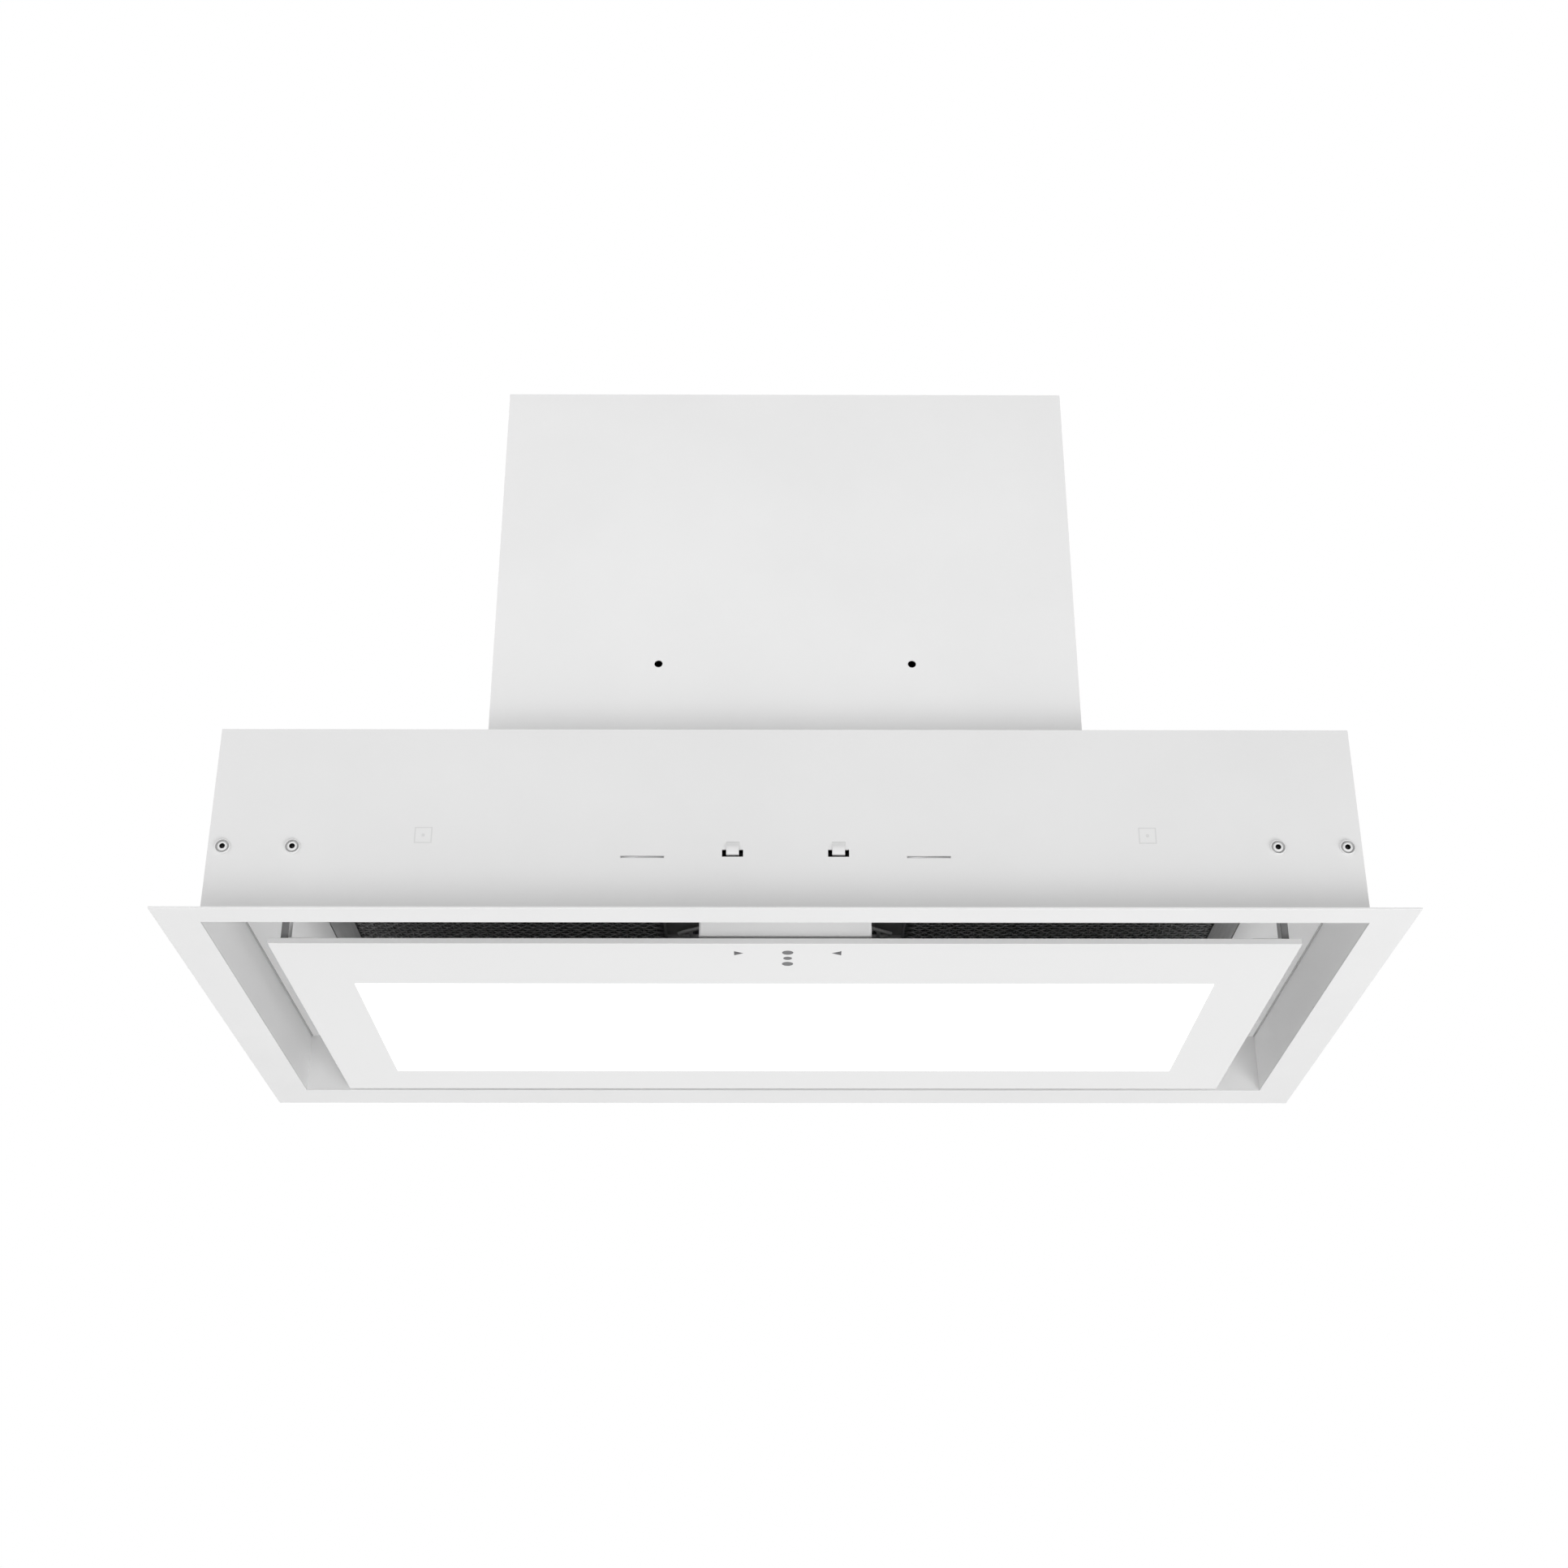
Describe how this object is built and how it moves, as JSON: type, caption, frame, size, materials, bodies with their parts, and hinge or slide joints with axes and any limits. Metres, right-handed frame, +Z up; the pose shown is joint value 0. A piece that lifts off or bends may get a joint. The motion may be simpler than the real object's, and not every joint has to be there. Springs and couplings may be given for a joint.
{
  "type": "ceiling range hood",
  "caption": "White built-in ceiling range hood with a hinged lit glass panel, edge suction, a grease filter, a centrifugal blower and a round duct outlet.",
  "frame": {"origin": "middle of the trim flange's lower face, which is the middle of the bottom of the bounding box", "axes": "+Z up, +X to the user's right, +Y away from the user, towards the wall that the panel's hinges face"},
  "size_m": [0.6, 0.304, 0.344],
  "materials": {
    "white_paint": "satin white powder coat",
    "aluminium_bare": "plain aluminium",
    "filter_mesh": "fine mesh, dark between its strands",
    "zinc_steel": "zinc-plated steel",
    "spring_steel": "spring steel",
    "copper": "enamelled copper wire",
    "laminated_steel": "stacked laminations",
    "white_glass": "white back-printed glass, polished edges",
    "lit_window": "opal acrylic, lit from behind",
    "clear_acrylic": "clear acrylic light guide",
    "white_plastic": "fine satin moulding",
    "grey_plastic": "satin grey moulding",
    "black_plastic": "satin black moulding",
    "grey_foam": "closed-cell gasket",
    "black_rubber": "soft moulded rubber",
    "sensor_lens": "tinted lens",
    "grey_print": "fired print",
    "circuit_board": "solder mask"
  },
  "bodies": {
    "hood": {"trim_flange": "white_paint", "casing_wrap": "white_paint", "casing_end_left": "white_paint", "casing_end_right": "white_paint", "inner_plate": "white_paint", "motor_box_wrap": "white_paint", "motor_box_rear_cover": "white_paint", "motor_box_top": "white_paint", "casing_rivets": "aluminium_bare", "motor_box_rivets": "aluminium_bare", "filter_frame": "aluminium_bare", "run_capacitor": "aluminium_bare", "motor_cap_inner": "aluminium_bare", "motor_cap_outer": "aluminium_bare", "filter_lower_screen": "filter_mesh", "filter_upper_screen": "filter_mesh", "filter_core": "filter_mesh", "cover_screws": "zinc_steel", "collar_screws": "zinc_steel", "hinge_brackets": "zinc_steel", "capacitor_clip": "zinc_steel", "motor_can": "zinc_steel", "motor_spider": "zinc_steel", "motor_bearings": "zinc_steel", "latch_spring": "spring_steel", "catch_clips": "spring_steel", "hinge_pins": "spring_steel", "flap_rods": "spring_steel", "stator_windings": "copper", "stator_core": "laminated_steel", "control_box": "white_plastic", "control_box_lid": "white_plastic", "latch_bezel": "black_plastic", "scroll_left": "black_plastic", "scroll_right": "black_plastic", "outlet_collar": "black_plastic", "cable_gland": "black_plastic", "gland_nut": "black_plastic", "spider_dampers": "black_rubber", "power_board": "circuit_board"},
    "light_panel": {"panel_glass": "white_glass", "light_window": "lit_window", "light_guide": "clear_acrylic", "led_strips": "white_plastic", "panel_tray": "white_paint", "control_housing": "white_plastic", "housing_gasket": "grey_foam", "sensor_board": "circuit_board", "sensor_lenses": "sensor_lens", "touch_marks": "grey_print", "catch_posts": "white_paint", "hinge_arms": "zinc_steel"},
    "latch": {"filter_latch": "grey_plastic"},
    "fan": {"fan_wheel": "grey_plastic", "fan_hub": "grey_plastic", "motor_shaft": "spring_steel", "motor_rotor": "laminated_steel"},
    "front_flap": {"damper_flap_front": "black_plastic"},
    "rear_flap": {"damper_flap_rear": "black_plastic"}
  },
  "joints": [
    {"name": "panel_hinge", "type": "hinge", "parent": "hood", "child": "light_panel", "pos_m": [0, 0.1118, 0.008], "axis": [1, 0, 0], "range_deg": [0, 90]},
    {"name": "latch_slide", "type": "slide", "parent": "hood", "child": "latch", "axis": [0, 1, 0], "range_m": [0, 0.007], "stiffness_N_per_m": 700, "springref_m": -0.004, "deforming": ["latch_spring"]},
    {"name": "fan_spin", "type": "hinge", "parent": "hood", "child": "fan", "pos_m": [0, 0.0241, 0.2036], "axis": [1, 0, 0], "continuous": true},
    {"name": "front_flap_swing", "type": "hinge", "parent": "hood", "child": "front_flap", "pos_m": [0, -0.0065, 0.322], "axis": [-1, 0, 0], "range_deg": [0, 80]},
    {"name": "rear_flap_swing", "type": "hinge", "parent": "hood", "child": "rear_flap", "pos_m": [0, -0.0005, 0.322], "axis": [1, 0, 0], "range_deg": [0, 80]}
  ]
}
